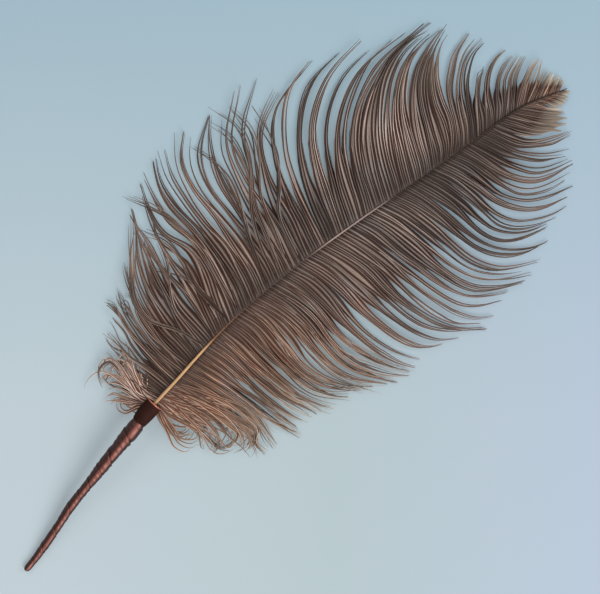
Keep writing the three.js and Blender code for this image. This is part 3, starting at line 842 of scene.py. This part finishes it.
# The down under the barbs stands for real down and barbules; its dark tone and mostly dark fringe are
# painted shade from the barbs over it.
UNDER_TONE, UNDER_FRINGE = 0.3, 0.35
SPIKE = spike_template()
FLOOR_GAP = 0.05  # nothing of a barb lies lower than this
LOWEST, HIGHEST, HIGHEST_LOOSE = 0.6, 18.5, 18.8  # heights of the middle of a barb

ROOT_SHADE = {LEFT: 11, RIGHT: 20}  # how far from the shaft the barbs are darker
SHEEN_PLACE, SHEEN_SPREAD = ((110, 0.3), (195, 0.5), (240, 0.15)), 0.16  # along a barb

STRING_SIZES = (1, 2, 3, 4, 5)  # barbs in a string
STRING_CHANCES = (0.15, 0.3, 0.25, 0.2, 0.1)
FIRST_BARB, BARE_TIP = 2.5, 7
PARTED_BASE = 24  # up to this station a barb turns to its own guide early
PARTED_CLOSING = 0.65  # how far barbs beside a parting close up on their guide
END_CLOSING = 0.9  # how far the ends of a string's barbs come together
END_CLOSING_TIP = ((285, 1), (318, 0.3))  # and how much of that is left at the feather's tip

# By station: barbs are warmer and sandier near the base, most of all on the right.
WARMTH = {
    LEFT: ((0, 1), (10, 0.6), (40, 0.5), (110, 0.35), (180, 0.1), (300, 0.2), (330, 0.8)),
    RIGHT: ((0, 1), (60, 1), (110, 0.55), (180, 0.1), (300, 0.2), (330, 0.8)),
}
# How pale the barbs' ends are: most of all at the feather's tip.
FROST = {
    LEFT: ((0, 0.3), (60, 0.12), (200, 0.14), (280, 0.3), (312, 1.0), (330, 1.4)),
    RIGHT: ((0, 0.35), (60, 0.2), (200, 0.1), (280, 0.25), (312, 1.1), (330, 1.5)),
}
# How much painted sheen the left barbs get, halfway up the feather: a paler band where they would
# catch the light.
SHEEN = {LEFT: ((110, 0), (150, 0.3), (235, 0.6), (262, 0.1)), RIGHT: ((0, 0), (SHAFT_LENGTH, 0))}
# How far barbs stray from their lock: most of all low down.
WILDNESS = {
    LEFT: ((0, 1.3), (40, 1.3), (130, 1.2), (170, 0.7), (300, 0.6), (335, 0.3)),
    RIGHT: ((0, 1.5), (40, 1.3), (90, 1.0), (250, 0.9), (300, 0.6), (335, 0.3)),
}
CROWD = {LEFT: LEFT_CROWD, RIGHT: RIGHT_CROWD}
# How dark the barbs are beside the shaft, and how wide they are.
ROOT_DEPTH = (
    (0, 0.9), (40, 1), (80, 0.9), (130, 0.9), (150, 0.6), (195, 0.6), (210, 1), (275, 1),
    (305, 0.8), (325, 0.3), (345, 0),
)
BARB_WIDTH = ((0, 0.85), (60, 1), (290, 0.95), (325, 0.55))

# Loose barbs: their guides, how often each is repeated, how wide they are, how high they arch over
# the others, how far they stray, and how pale and how deep in shadow they are. The barbs of a curl
# also turn in and have a warmth of their own.
LOOSE = {"curl": False, "barbules": 0.5, "frost": 0.3, "warmth": None}
CURLED = {"curl": True, "barbules": 0.3, "frost": 0.2, "depth": 0.7}
LOOSE_GROUPS = {
    "crossing_barbs": {
        **LOOSE, "rows": CROSSING, "side": LEFT, "copies": 4, "width": 0.95, "lift": 2.0,
        "wild": 1.2, "tone": 0, "depth": 0.5},
    "low_right_barbs": {
        **LOOSE, "rows": [row for row in RIGHT_GUIDES if 10 < row[0] < 120], "side": RIGHT,
        "copies": 4, "width": 0.75, "lift": 1.2, "wild": 1.7, "tone": 0.35, "depth": 0.95},
    "left_curls": {
        **CURLED, "rows": LEFT_CURLS, "side": LEFT, "copies": 8, "width": 1.0, "lift": 1.5,
        "wild": 1.4, "tone": 1.4, "warmth": 0.65},
    "right_curls": {
        **CURLED, "rows": RIGHT_CURLS, "side": RIGHT, "copies": 7, "width": 0.95, "lift": 1.5,
        "wild": 1.3, "tone": 0.45, "warmth": 1},
}


def smooth_step(value, low, high):
    """0 up to low, 1 from high on, and a soft rise between them."""
    value = np.clip((value - low) / (high - low), 0, 1)
    return value * value * (3 - 2 * value)


def over_floor(verts):
    verts[..., 2] = np.maximum(verts[..., 2], FLOOR_GAP)
    return verts


def grow_barb(bundle, barb, shape, rng):
    """Adds one barb: a roof-like web, down under it, and a fringe of barbules on both sides."""
    path, width = barb["path"], barb["width"]
    t = np.linspace(0, 1, len(path))
    distance = distance_along(path)
    length = distance[-1]
    roll = rng.normal(0, 0.15) + rng.normal(0, 0.4) * t
    _, across, up = frames_of(path, roll)
    sheen_middle = profile(SHEEN_PLACE, barb["station"])

    def web_half(at):
        plain = width * shape.web_width * np.interp(at, WEB_AT, WEB_WIDTH)
        return np.maximum(plain, np.interp(at, t, barb["fill"]))

    def laid(at, aside, rise):
        """Points beside and over the barb's path."""
        return (rows_at(at, t, path) + aside[:, None] * rows_at(at, t, across)
                + rise[:, None] * rows_at(at, t, up))

    def looks(at):
        """The values that colour the barb, at places along it."""
        shadow = np.exp(-np.interp(at, t, distance) / ROOT_SHADE[barb["side"]])
        sheen = np.exp(-((at - sheen_middle) / SHEEN_SPREAD) ** 2)
        return {"along": at, "depth": barb["depth"] * shadow,
                "tone": barb["tone"] + barb["sheen"] * sheen,
                "warmth": barb["warmth"], "frost": barb["frost"]}

    unit, faces = WEB
    at, edge = unit[:, 2], np.abs(unit[:, 0])
    half = web_half(at)
    aside = half * (unit[:, 0] + barb["skew"] * (1 - edge))
    rise = shape.barb_radius * width * (1 - 0.6 * at) * unit[:, 1] - WEB_SLOPE * half * edge
    bundle.add(over_floor(laid(at, aside, rise)), faces, fringe=edge, **looks(at))

    if barb["under"] > 0:
        unit, faces = UNDER
        at = unit[:, 2] * barb["under"]
        aside = width * np.interp(unit[:, 2], UNDER_AT, UNDER_WIDTH) * unit[:, 0]
        down = laid(at, aside, 0 * at)
        down[:, 2] = down[:, 2] - UNDER_DROP + 0.15 * unit[:, 1] - 0.3 * np.abs(aside)
        values = {**looks(at), "tone": UNDER_TONE}
        bundle.add(over_floor(down), faces, fringe=UNDER_FRINGE, **values)

    count = max(6, int(length * barb["barbules"] / shape.barbule_spacing))
    start = np.concatenate(
        [(np.arange(count) + rng.uniform(0, 1, count)) / count for _ in range(2)])
    side = np.repeat([1.0, -1.0], count)
    keep = (start > 2 / length) & (start < 0.985)
    start, side = start[keep], side[keep]
    number = len(start)
    end = np.minimum(start + shape.barbule_length * rng.uniform(0.6, 1.3, number) / length, 1.0)
    reach = web_half(end) * rng.uniform(0.6, 1.25, number)
    reach = np.maximum(reach, 0.25 * width * rng.uniform(0.5, 1.2, number))
    base = laid(start, barb["skew"] * web_half(start), 0 * start)
    point = laid(end, side * reach, -(WEB_SLOPE * reach * rng.uniform(0.9, 1.3, number)))
    axis = point - base
    flat = unit_rows(np.cross(rows_at(start, t, up), axis))
    lift = unit_rows(np.cross(axis, flat))
    thick = shape.barbule_thickness * width * np.interp(start, (0, 0.7, 1), (1, 0.9, 0.7))
    thick = thick[:, None, None]
    unit, faces = SPIKE
    spikes = (base[:, None] + unit[:, :1] * flat[:, None] * thick
              + unit[:, 1:2] * lift[:, None] * thick * 0.7 + unit[:, 2:] * axis[:, None])
    values = {key: np.reshape(value, (-1, 1)) for key, value in looks(start).items()}
    bundle.add(over_floor(spikes), faces, fringe=unit[:, 2], **values)


def between(stations, plans, parts, station):
    """Plan of a barb at a station, the number of its nearest guide, and if it parts there."""
    after = int(np.clip(np.searchsorted(stations, station), 1, len(stations) - 1))
    before = after - 1
    share = np.clip((station - stations[before]) / (stations[after] - stations[before]), 0, 1)
    number, parted = (after if share > 0.5 else before), False
    for part in parts:
        if stations[before] < part < stations[after]:
            number, parted = (after if station > part else before), True
    if station < PARTED_BASE:
        apart = smooth_step(np.linspace(0, 1, len(plans[0])), 0.1, 0.6)[:, None]
        share = share * (1 - apart) + float(number == after) * apart
    return plans[before] * (1 - share) + plans[after] * share, number, parted


def barb_strings(side, shape, rng):
    """Stations of the barbs, gathered in the strings that they run in."""
    strings, station, left = [], FIRST_BARB, 0
    while station < SHAFT_LENGTH - BARE_TIP:
        if left == 0:
            strings.append([])
            left = int(rng.choice(STRING_SIZES, p=STRING_CHANCES))
        strings[-1].append(station)
        left -= 1
        station += shape.barb_spacing * profile(CROWD[side], station) * rng.uniform(0.88, 1.12)
    return strings


def fill_webs(barbs, parts, fill):
    """Sets how wide each barb's web grows to meet its neighbours, inside its lock."""
    gaps = []
    for one, two in zip(barbs, barbs[1:]):
        gap = np.linalg.norm(one["path"][:, :2] - two["path"][:, :2], axis=1)
        if any(one["station"] < part < two["station"] for part in parts):
            gap = gap * 0
        gaps.append(gap)
    gaps = [gaps[0] * 0, *gaps, gaps[0] * 0]
    for barb, before, after in zip(barbs, gaps, gaps[1:]):
        reach = profile(fill, barb["station"])
        half = np.minimum(0.55 * np.maximum(before, after), FILL_LIMIT)
        barb["fill"] = half * (1 - smooth_step(PATH_T, reach - 0.12, reach + 0.12))


def vane_barbs(guides, parts, closing, strings, under, fill, side, shape):
    """Paths and looks of all the barbs of one vane, closing up in strings and on the guides."""
    rng = np.random.default_rng((shape.seed, side + 1))
    t = PATH_T[:, None]
    arch = np.sin(math.pi * PATH_T)
    roots = [row[0] for row in guides]
    plans = [guide_line(row) for row in guides]
    seen, barbs = {}, []
    for members in barb_strings(side, shape, rng):
        middle = sum(members) / len(members)
        plan, number, parted = between(roots, plans, parts, middle)
        wild = profile(WILDNESS[side], middle)
        tip = TIP_HEIGHTS[number % len(TIP_HEIGHTS)]
        if number not in seen:
            seen[number] = (raised(plans[number], roots[number], tip), rng.uniform(0.12, 0.3),
                            rng.uniform(0.5, 0.8), rng.uniform(-0.2, 1.1), rng.uniform(0.85, 1.1))
        guide, start, end, guide_tone, strength = seen[number]
        shift = rng.normal(0, 1, 6)
        string_line = raised(stray(plan, shift, wild), middle, tip + 0.8 * abs(shift[2]))
        share = PARTED_CLOSING if parted else min(profile(closing, middle) * strength, 0.9)
        share = share * smooth_step(t, start, end)
        string_line = string_line * (1 - share) + guide * share
        string_line[:, 2] += 0.8 * rng.normal(0, 1) * arch
        string_tone = rng.uniform(0, 1)
        tightness = (profile(strings, middle) * rng.uniform(0.8, 1.2)
                     * smooth_step(t, rng.uniform(0.05, 0.2), rng.uniform(0.4, 0.7)))
        closed = END_CLOSING * profile(END_CLOSING_TIP, middle) * rng.uniform(0.7, 1.1)
        tightness = np.maximum(tightness, closed * smooth_step(t, 0.55, 0.98))
        pull = 1 - (1 - tightness) * (1 - 0.3 * share)
        reach = profile(under, middle) * rng.uniform(0.85, 1.15)
        for station in members:
            skew = 0.55 * side * (float(station == members[0]) - float(station == members[-1]))
            if len(members) == 1:
                skew = rng.uniform(-0.4, 0.4)
            plan, _, _ = between(roots, plans, parts, station)
            plan = stray(plan, 0.5 * rng.normal(0, 1, 6) + 0.6 * shift, wild)
            path = raised(plan, station, tip + 0.8 * abs(shift[2]))
            path = path * (1 - pull) + string_line * pull
            root_rise = profile(ROOT_RISE, station) * (1 - PATH_T) ** 6
            path[:, 2] += 0.35 * rng.normal(0, 1) * arch + root_rise
            path[:, 2] = np.clip(path[:, 2], LOWEST, HIGHEST)
            tone = 0.35 * guide_tone + 0.4 * string_tone + 0.25 * rng.uniform(0, 1)
            width = rng.uniform(0.85, 1.12) * profile(BARB_WIDTH, station)
            barbs.append({
                "station": station, "side": side, "path": path, "barbules": 1, "skew": skew,
                "warmth": profile(WARMTH[side], station), "frost": profile(FROST[side], station),
                "sheen": profile(SHEEN[side], station), "tone": tone,
                "depth": profile(ROOT_DEPTH, station), "under": reach, "width": width})
    fill_webs(barbs, parts, fill)
    return barbs


def loose_barbs(group, shape):
    """Barbs that stray over the others: each row is repeated with small changes."""
    rows, side, copies = group["rows"], group["side"], group["copies"]
    rng = np.random.default_rng((shape.seed, side + 1, len(rows), copies))
    barbs = []
    for row in rows:
        plan = guide_line(row)
        warmth = group["warmth"] or profile(WARMTH[side], row[0])
        for copy in range(copies):
            shift = rng.normal(0, 1, 8)
            own = stray(plan, shift * min(copy, 1), group["wild"])
            if group["curl"] and copy:
                aside, turn = 0.12 * rng.normal(), 1 + 0.25 * rng.normal()
                own = bent(own, aside, turn, rng.uniform(0.7, 1.05))
            path = raised(own, row[0], 1.5 + abs(shift[6]))
            path[:, 2] += group["lift"] * np.sin(math.pi * PATH_T) * (1 + 0.3 * shift[7])
            path[:, 2] = np.clip(path[:, 2], LOWEST, HIGHEST_LOOSE)
            barbs.append({
                "station": row[0], "side": side, "path": path, "under": 0, "fill": 0 * PATH_T,
                "skew": rng.uniform(-0.4, 0.4), "tone": rng.uniform(-0.1, 1.0) + group["tone"],
                "depth": group["depth"], "barbules": group["barbules"], "sheen": 0,
                "warmth": warmth, "frost": group["frost"],
                "width": group["width"] * rng.uniform(0.8, 1.2)})
    return barbs


def make_barbs(name, barbs, context):
    """One joined piece from a list of barbs."""
    shape, colours = settings(context)
    bundle = Bundle()
    for number, barb in enumerate(barbs):
        grow_barb(bundle, barb, shape, np.random.default_rng((shape.seed, len(name), number)))
    material = material_once("barb_horn", barb_material, colours)
    finish_piece(bundle.make(name), material, "feather", "feather")


# ---- Operators -----------------------------------------------------------------------------

VANE_CUTS = (0, 75, 140, 210, SHAFT_LENGTH)


def settings(context):
    return context.scene.feather_shape, context.scene.feather_colours


def material_once(name, make, colours):
    return bpy.data.materials.get(name) or make(colours)


def make_vane(context, label, *tables):
    """The barbs of one vane, as one piece for each stretch of the shaft."""
    barbs = vane_barbs(*tables, settings(context)[0])
    for number, (low, high) in enumerate(zip(VANE_CUTS, VANE_CUTS[1:]), 1):
        stretch = [barb for barb in barbs if low <= barb["station"] < high]
        make_barbs(f"{label}_barbs_{number}", stretch, context)


class FEATHER_OT_left_vane(bpy.types.Operator):
    """Grow the barbs of the left vane"""
    bl_idname = "feather.left_vane"
    bl_label = "Left vane"

    def execute(self, context):
        make_vane(context, "left", LEFT_GUIDES, LEFT_PARTS, LEFT_CLOSING, LEFT_STRINGS, LEFT_UNDER,
                  LEFT_FILL, LEFT)
        return {"FINISHED"}


class FEATHER_OT_right_vane(bpy.types.Operator):
    """Grow the barbs of the right vane"""
    bl_idname = "feather.right_vane"
    bl_label = "Right vane"

    def execute(self, context):
        make_vane(context, "right", RIGHT_GUIDES, RIGHT_PARTS, RIGHT_CLOSING, RIGHT_STRINGS,
                  RIGHT_UNDER, RIGHT_FILL, RIGHT)
        return {"FINISHED"}


class FEATHER_OT_loose_barbs(bpy.types.Operator):
    """Lay the crossing barbs, the loose low ones and the pale curls at the base"""
    bl_idname = "feather.loose_barbs"
    bl_label = "Loose barbs"

    def execute(self, context):
        shape = settings(context)[0]
        for name, group in LOOSE_GROUPS.items():
            make_barbs(name, loose_barbs(group, shape), context)
        return {"FINISHED"}


def tube_on_line(name, rows, sides, rings, bump=None):
    """A round piece along the feather's line, with a radius for each station."""
    verts, faces = tube_template(sides, rings)
    stations = np.linspace(rows[0][0], rows[-1][0], rings)
    marks = {}
    if bump is not None:
        at = np.interp(verts[:, 2], np.linspace(0, 1, rings), stations)
        turn = np.arctan2(verts[:, 1], verts[:, 0]) / (2 * math.pi)
        swell, marks = bump(at, turn)
        verts[:, :2] *= swell[:, None]
    place = bent_tube(verts, line_at(stations), profile(rows, stations))
    place[:, 2] = np.maximum(place[:, 2], 0)
    bundle = Bundle()
    bundle.add(place, faces, along=verts[:, 2], **marks)
    return bundle.make(name)


class FEATHER_OT_shaft(bpy.types.Operator):
    """Make the bare horn shaft"""
    bl_idname = "feather.shaft"
    bl_label = "Shaft"

    def execute(self, context):
        material = material_once("shaft_horn", shaft_material, settings(context)[1])
        finish_piece(tube_on_line("shaft", SHAFT_ROWS, 12, 160), material, "feather", "feather")
        return {"FINISHED"}


LAP_EDGE = ((0, -0.6), (0.05, -0.15), (0.35, 0.25), (0.8, 0.1), (0.95, 0.45), (1, -0.6))
LAP_FADE = ((-140, 0), (-134, 1), (-20, 1), (-15, 0.2))


def ribbon_turns(station, turn):
    """Swelling of the grip where each turn of ribbon laps over the one before."""
    sway = 0.22 * np.sin(station / 11) + 0.1 * np.sin(station / 4.3)
    lap = np.mod(turn + station / RIBBON_PITCH + sway, 1)
    lump = 0.5 * np.sin(station / 5.1) + 0.5 * np.sin(station / 8.7 + 2 * math.pi * turn)
    crease = np.sin(2 * math.pi * (2 * turn + station / 4.1)) * np.sin(station / 7.3)
    height = 0.18 * profile(LAP_EDGE, lap) + 0.1 * lump + 0.03 * crease
    return 1 + height * profile(LAP_FADE, station), {"lap": lap, "turn": turn}


class FEATHER_OT_grip(bpy.types.Operator):
    """Wind the ribbon round the quill"""
    bl_idname = "feather.grip"
    bl_label = "Ribbon grip"

    def execute(self, context):
        material = material_once("ribbon_satin", ribbon_material, settings(context)[1])
        obj = tube_on_line("ribbon_grip", GRIP_ROWS, 48, 420, ribbon_turns)
        finish_piece(obj, material, "ribbon", "ribbon_wrap")
        return {"FINISHED"}


class FEATHER_OT_collar(bpy.types.Operator):
    """Make the flared band with its coppery rim"""
    bl_idname = "feather.collar"
    bl_label = "Collar"

    def execute(self, context):
        bm = bmesh.new()
        outline = [bm.verts.new((radius, 0, station)) for radius, station in COLLAR_ROWS]
        for one, two in zip(outline, outline[1:] + outline[:1]):
            bm.edges.new((one, two))
        bmesh.ops.spin(bm, geom=list(bm.verts) + list(bm.edges), cent=(0, 0, 0), axis=(0, 0, 1),
                       angle=2 * math.pi, steps=64, use_merge=True)
        bmesh.ops.remove_doubles(bm, verts=list(bm.verts), dist=1e-4)
        verts, faces = arrays_of(bm)
        stations = verts[:, 2]
        dense = np.linspace(-20, 4, 97)
        path = line_at(dense)
        _, across, up = (rows_at(stations, dense, rows) for rows in frames_of(path))
        aside = COLLAR_BULGE * np.sin(math.pi * np.clip(-stations / COLLAR_DEPTH, 0, 1))
        aside = verts[:, 0] + aside * (verts[:, 0] > 0)
        place = rows_at(stations, dense, path) + aside[:, None] * across + verts[:, 1:2] * up
        radius = np.hypot(verts[:, 0], verts[:, 1])
        bundle = Bundle()
        bundle.add(place, faces, rim=(stations > RIM_STATION) & (radius > RIM_RADIUS))
        material = material_once("collar_band", collar_material, settings(context)[1])
        finish_piece(bundle.make("collar_band"), material, "band", "collar")
        return {"FINISHED"}


def view_place(right, top, height):
    """A place in metres from the view's centre, by the view's own right and top."""
    return Vector((*VIEW_CENTRE, 0)) + VIEW_RIGHT * right + VIEW_TOP * top + Vector((0, 0, height))


def add_light(name, place, aim, size, power, colour):
    """Adds a soft lamp: round for one size, oblong for two."""
    data = bpy.data.lights.new(name, "AREA")
    data.shape = "DISK" if len(size) == 1 else "RECTANGLE"
    data.size, data.size_y, data.energy, data.color = size[0], size[-1], power, colour
    obj = bpy.data.objects.new(name, data)
    bpy.context.scene.collection.objects.link(obj)
    obj.location = view_place(*place)
    obj.rotation_euler = (view_place(*aim) - obj.location).to_track_quat("-Z", "Y").to_euler()


class FEATHER_OT_stage(bpy.types.Operator):
    """Set the floor, the soft lights and the camera"""
    bl_idname = "feather.stage"
    bl_label = "Stage"

    def execute(self, context):
        scene = context.scene
        bm = bmesh.new()
        bmesh.ops.create_grid(bm, x_segments=1, y_segments=1, size=4)
        mesh = bpy.data.meshes.new("floor")
        bm.to_mesh(mesh)
        bm.free()
        floor = bpy.data.objects.new("floor", mesh)
        mesh.materials.append(material_once("pale_floor", floor_material, settings(context)[1]))
        scene.collection.objects.link(floor)

        world = bpy.data.worlds.new("soft_room")
        world.use_nodes = True
        background = world.node_tree.nodes["Background"]
        background.inputs["Color"].default_value = (0.95, 0.98, 1.0, 1)
        background.inputs["Strength"].default_value = 0.6
        scene.world = world
        for light in LIGHTS:
            add_light(*light)

        data = bpy.data.cameras.new("camera")
        data.lens, data.sensor_width = LENS, SENSOR
        camera = bpy.data.objects.new("camera", data)
        camera.location = (*VIEW_CENTRE, VIEW_LEVEL + VIEW_WIDTH * LENS / SENSOR)
        camera.rotation_euler = (0, 0, CAMERA_ROLL)
        scene.collection.objects.link(camera)
        scene.camera = camera
        scene.view_settings.view_transform = "Standard"
        return {"FINISHED"}


class FEATHER_PT_panel(bpy.types.Panel):
    """Lists the feather's pieces and their settings"""
    bl_idname = "FEATHER_PT_panel"
    bl_label = "Ostrich Feather"
    bl_space_type = "VIEW_3D"
    bl_region_type = "UI"
    bl_category = "Feather"

    def draw(self, context):
        for group in settings(context):
            box = self.layout.box()
            for name in group.__annotations__:
                box.prop(group, name)
        for operator in OPERATORS:
            self.layout.operator(operator.bl_idname)


OPERATORS = (
    FEATHER_OT_shaft, FEATHER_OT_left_vane, FEATHER_OT_right_vane, FEATHER_OT_loose_barbs,
    FEATHER_OT_grip, FEATHER_OT_collar, FEATHER_OT_stage,
)
CLASSES = (FeatherShape, FeatherColours, *OPERATORS, FEATHER_PT_panel)


def register():
    for cls in CLASSES:
        bpy.utils.register_class(cls)
    bpy.types.Scene.feather_shape = PointerProperty(type=FeatherShape)
    bpy.types.Scene.feather_colours = PointerProperty(type=FeatherColours)


def unregister():
    del bpy.types.Scene.feather_colours
    del bpy.types.Scene.feather_shape
    for cls in reversed(CLASSES):
        bpy.utils.unregister_class(cls)


def main():
    register()
    for operator in OPERATORS:
        group, name = operator.bl_idname.split(".")
        getattr(getattr(bpy.ops, group), name)()


if __name__ == "__main__":
    main()
